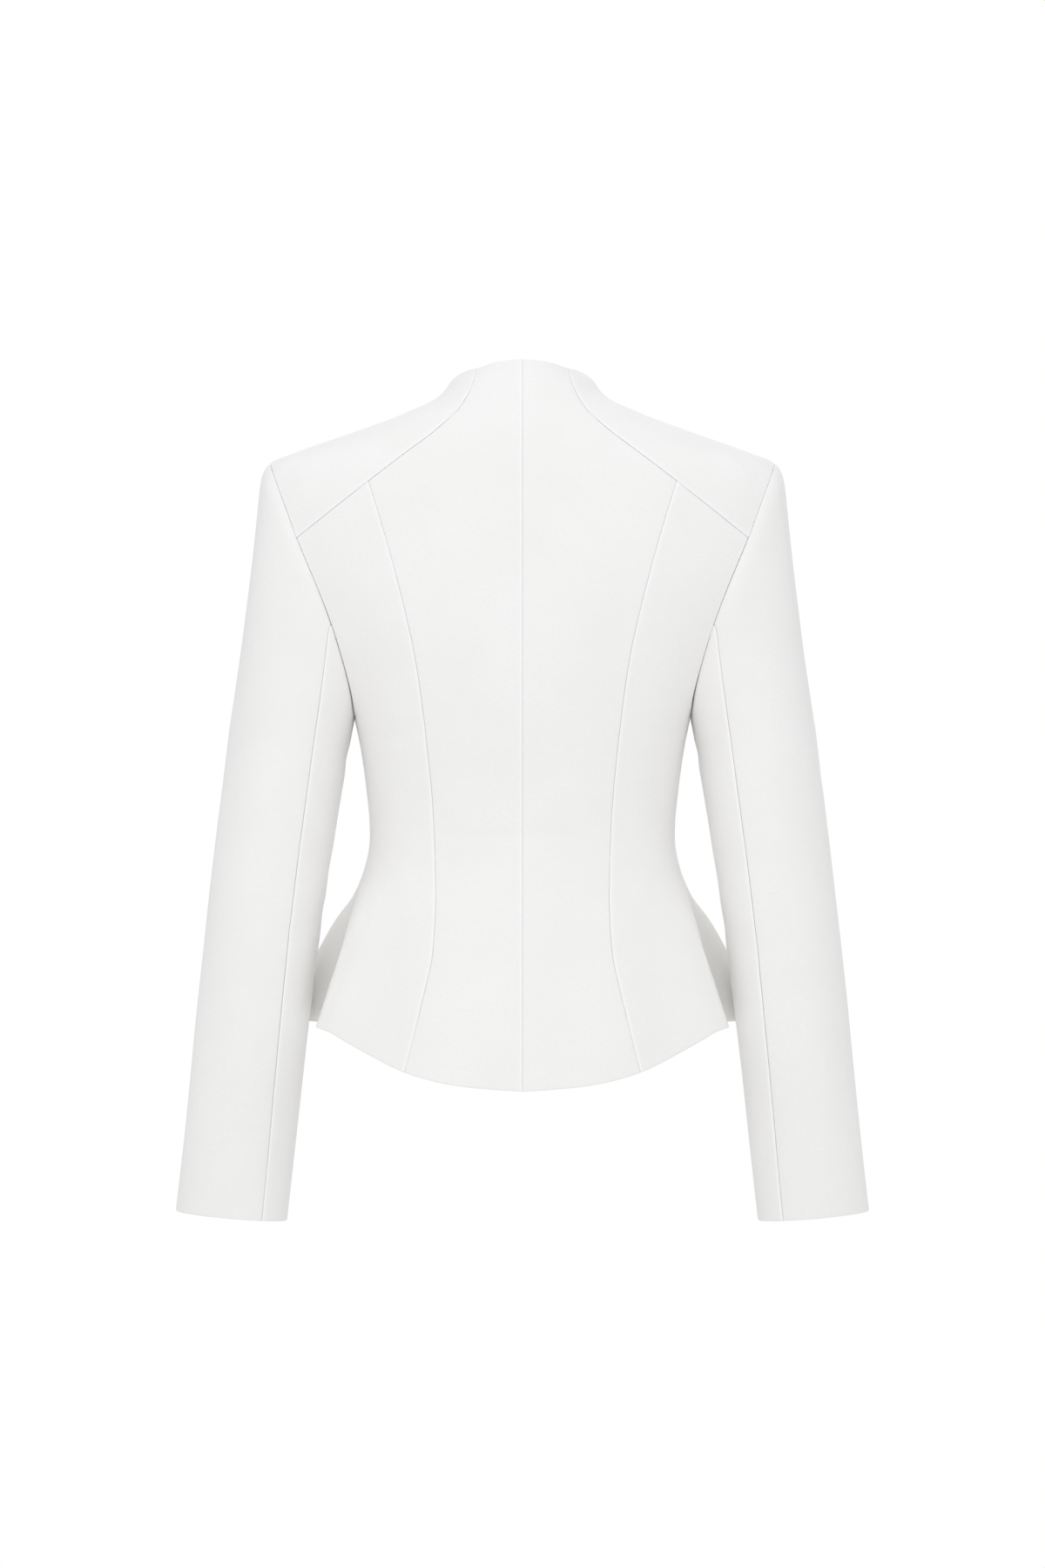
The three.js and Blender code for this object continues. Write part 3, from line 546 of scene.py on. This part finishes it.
def seam_rolls(name, points):
    """How far seams and edges move each point outwards, how far each border goes sideways
    to close its seam, and how strong the painted highlight is beside each seam."""
    normals = normals_of(points)
    others = all_but(name)
    across, up = run_of(points, 1), run_of(points, 0)
    low, high, painted_seam_highlight = [], [], []
    closing = np.zeros_like(points)
    borders = [
        (across, (slice(None), 0), (slice(None), 1)),
        (across[:, -1:] - across, (slice(None), -1), (slice(None), -2)),
        (up, (0, slice(None)), (1, slice(None))),
        (up[-1:] - up, (-1, slice(None)), (-2, slice(None))),
    ]
    for distance, border, beside in borders:
        upright = border[0] == slice(None)
        spread = (lambda v: v[:, None]) if upright else (lambda v: v[None, :])
        line = points[border]
        out = np.cross(np.gradient(line, axis=0), normals[border])
        out /= np.linalg.norm(out, axis=-1, keepdims=True)
        inwards = points[beside] - line
        inwards /= np.linalg.norm(inwards, axis=-1, keepdims=True)
        slant = np.sum(out * inwards, axis=-1)
        out *= -np.sign(slant)[:, None]
        distance = distance * spread(np.abs(slant))

        kinds, way = sewn_to(name, others, line, out)
        over, under, armhole = kinds.T
        closing[border] += way * SEAM_SHARE
        fall = smooth(UNDERARM_PULL["from"], UNDERARM_PULL["to"], line[:, 2])
        pull = UNDERARM_PULL["above"] * (1 - fall) + UNDERARM_PULL["below"] * fall
        pull = 1 + armhole * (pull - 1)
        edge = "lapped" if upright and name == "front_right" else "free"
        roll = sum(
            spread(share) * np.interp(distance, ROLL["distance"], ROLL[kind])
            for share, kind in ((over, "over"), (under, "under"), (1 - over - under, edge))
        )
        low.append(np.minimum(roll, 0) * spread(pull))
        high.append(np.maximum(roll, 0))
        # Only the side that stands over a seam takes the painted highlight.
        painted_seam_highlight.append(spread(over) * np.interp(distance, ROLL["distance"], ROLL["painted_seam_highlight"]))
    return np.min(low, axis=0) + np.max(high, axis=0), closing, np.max(painted_seam_highlight, axis=0)


def panel(name, creases, axis):
    """Makes the shell of one cut piece in place of its solid."""
    wall = outer_wall(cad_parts[name], axis)
    join_quads(wall)
    rows = net(wall)
    wall.free()
    points = dense(rows)
    out = normals_of(points)
    roll, closing, painted_seam_highlight = seam_rolls(name, points)
    drape = np.array([
        [noise.noise(Vector(p) / DRAPE["size"]) for p in line] for line in points
    ]) * DRAPE["deep"]
    placed = points + closing + out * (roll + drape + creases(points))[..., None]

    tall, wide = points.shape[:2]
    half = 0.5
    sheet = bmesh.new()
    bmesh.ops.create_grid(
        sheet, x_segments=wide - 1, y_segments=tall - 1, size=half, calc_uvs=False
    )
    across, up = run_of(points, 1), run_of(points, 0)
    where = {}
    # Each vertex carries the strength of its painted seam highlight for the crepe's shader.
    highlight_layer = sheet.verts.layers.float.new("painted_seam_highlight")
    for vertex in sheet.verts:
        k = round((vertex.co.x + half) * (wide - 1))
        j = round((vertex.co.y + half) * (tall - 1))
        vertex.co = placed[j, k]
        vertex[highlight_layer] = painted_seam_highlight[j, k]
        where[vertex] = (across[j, k], up[j, k])
    uv = sheet.loops.layers.uv.new("grain")
    for face in sheet.faces:
        face.smooth = True
        for loop in face.loops:
            loop[uv].uv = where[loop.vert]
    mesh = bpy.data.meshes.new(name + "_cloth")
    sheet.to_mesh(mesh)
    sheet.free()
    mesh.materials.append(white_crepe)
    cloth = bpy.data.objects.new(name + "_cloth", mesh)
    bpy.context.scene.collection.objects.link(cloth)
    shell = cloth.modifiers.new("thickness", "SOLIDIFY")
    shell.thickness = SHELL
    shell.offset = -1
    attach(cloth, "root")
    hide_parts(name)


SIDES = ("left", "right")
for side in SIDES:
    panel(
        f"centre_back_{side}", body_creases, spine,
    )


# The side backs: from the princess seam round to the side seam, where they flare out over
# a ridge and turn into the flute beside the hip. They are steam-shrunk in at the waist.
for side in SIDES:
    panel(
        f"side_back_{side}", body_creases, spine,
    )


# The shoulder panels: from the neck over the shoulder, ending in a point on the armhole
# seam in the back and the front. Pads inside hold them square. They carry the jacket.
for side in SIDES:
    panel(
        f"shoulder_panel_{side}", body_creases, spine,
    )


# The side fronts: from the side seam to the front princess seam, over the bust. They are
# cut in the same crepe, and the princess seam gives them their roundness.
for side in SIDES:
    panel(
        f"side_front_{side}", body_creases, spine,
    )


# The fronts: the right one wraps over the left, and their edges cross under the bust. Each
# is cut in one piece from the shoulder panel to the hem, and its free edge is turned under.
for side in SIDES:
    panel(
        f"front_{side}", body_creases, spine,
    )


# The sleeves: each has a wide top piece, eased into the armhole over a firm sleeve head,
# and a narrow under piece along the inside of the arm. They are cut to hang with a slight
# bend, so the folds lie inside the elbow and at the back of it.
ELBOW = {"z": -0.407, "x": 0.2106, "y": 0.010}
UNDERARM = {"z": -0.250, "x": 0.1885, "y": -0.002}
CUFF = {"z": -0.659, "x": 0.2395, "y": -0.013}

# Cloth round the sleeve for one degree, taken as the same all the way down.
MM_PER_DEGREE = 0.84

# Creases of the sleeves: degrees round the sleeve from its outside by the back, and height
# in millimetres. The other values are as on the body.
SLEEVE_CREASES = {
    "left": [
        {"round": 112, "z": -352, "to_round": 196, "to_z": -384, "bow": 5, "wide": 10, "deep": 0.6},
        {"round": 128, "z": -398, "to_round": 214, "to_z": -410, "bow": -4, "wide": 9, "deep": 0.5},
        {"round": 92, "z": -432, "to_round": 176, "to_z": -420, "bow": 5, "wide": 10, "deep": 0.5},
        {"round": 252, "z": -376, "to_round": 318, "to_z": -402, "bow": 6, "wide": 8, "deep": 1.1},
        {"round": 246, "z": -420, "to_round": 300, "to_z": -412, "bow": -3, "wide": 7, "deep": 0.8},
        {"round": 30, "z": -150, "to_round": 20, "to_z": -330, "bow": 5, "wide": 16, "deep": 0.8},
        {"round": 64, "z": -246, "to_round": 46, "to_z": -372, "bow": -6, "wide": 14, "deep": 0.7},
        {"round": 40, "z": -440, "to_round": 54, "to_z": -590, "bow": 5, "wide": 14, "deep": 0.6},
        {"round": 330, "z": -180, "to_round": 322, "to_z": -340, "bow": 5, "wide": 15, "deep": 0.9},
        {"round": 150, "z": -272, "to_round": 206, "to_z": -286, "bow": -4, "wide": 8, "deep": 0.7},
    ],
    "right": [
        {"round": 106, "z": -362, "to_round": 190, "to_z": -390, "bow": 4, "wide": 11, "deep": 0.55},
        {"round": 134, "z": -410, "to_round": 208, "to_z": -418, "bow": -5, "wide": 9, "deep": 0.5},
        {"round": 96, "z": -446, "to_round": 164, "to_z": -432, "bow": 4, "wide": 10, "deep": 0.45},
        {"round": 248, "z": -366, "to_round": 312, "to_z": -396, "bow": 5, "wide": 7, "deep": 1.0},
        {"round": 256, "z": -432, "to_round": 306, "to_z": -418, "bow": -4, "wide": 8, "deep": 0.9},
        {"round": 26, "z": -164, "to_round": 16, "to_z": -312, "bow": -5, "wide": 17, "deep": 0.7},
        {"round": 60, "z": -232, "to_round": 50, "to_z": -388, "bow": 6, "wide": 13, "deep": 0.7},
        {"round": 48, "z": -452, "to_round": 40, "to_z": -604, "bow": -4, "wide": 15, "deep": 0.7},
        {"round": 328, "z": -192, "to_round": 318, "to_z": -326, "bow": -6, "wide": 14, "deep": 0.8},
        {"round": 156, "z": -276, "to_round": 212, "to_z": -292, "bow": 4, "wide": 7, "deep": 0.6},
    ],
}


def arm_line(z, side):
    """The middle of the sleeve on one side at a height, or at an array of heights."""
    stops = [CUFF, ELBOW, UNDERARM]
    x = np.interp(z, [s["z"] for s in stops], [s["x"] for s in stops])
    y = np.interp(z, [s["z"] for s in stops], [s["y"] for s in stops])
    return (x if side == "left" else -x), y


def sleeve_axis(side):
    """Gives the point of that line at a height."""
    return lambda z: Vector((*(float(v) for v in arm_line(z, side)), z))


def sleeve_creases(side):
    """Gives the creases of the sleeve on one side at its points."""
    table = [
        {**row, "x": row["round"] * MM_PER_DEGREE, "to_x": row["to_round"] * MM_PER_DEGREE}
        for row in SLEEVE_CREASES[side]
    ]

    def at(points):
        x, y, z = np.moveaxis(points, -1, 0)
        middle_x, middle_y = arm_line(z, side)
        outwards = (x - middle_x) * (1 if side == "left" else -1)
        turn = np.degrees(np.arctan2(y - middle_y, outwards)) % 360
        return crease_depths(turn * MM_PER_DEGREE * MM, z, table)

    return at


for side in SIDES:
    panel(
        f"under_sleeve_{side}", sleeve_creases(side), sleeve_axis(side),
    )
    panel(
        f"top_sleeve_{side}", sleeve_creases(side), sleeve_axis(side),
    )
